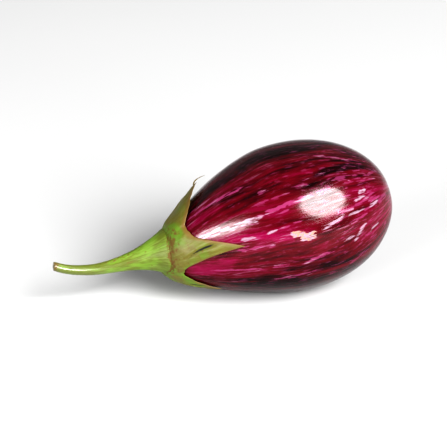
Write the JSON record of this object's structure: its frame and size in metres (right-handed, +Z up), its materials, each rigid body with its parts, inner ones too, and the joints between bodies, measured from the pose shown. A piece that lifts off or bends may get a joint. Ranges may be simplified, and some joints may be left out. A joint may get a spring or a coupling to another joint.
{
  "type": "eggplant",
  "caption": "Small striped purple eggplant lying on its side, with a green lobed calyx over its shoulder and a short curved cut stem.",
  "frame": {"origin": "centre of the small flat spot on the belly that the eggplant rests on", "axes": "+X along the fruit's length as it lies, towards the blossom end, with the stem towards -X; +Z up; -Y towards the viewer"},
  "size_m": [0.132, 0.0578, 0.0576],
  "materials": {
    "skin": "glossy dark purple skin with broken pink and white streaks",
    "calyx": "matte olive green with brown creases and pale edges",
    "stem": "satin yellow-green with lengthwise ribs and a brown cut end"
  },
  "bodies": {
    "root": {"fruit": "skin", "calyx": "calyx", "stem": "stem"}
  },
  "joints": []
}
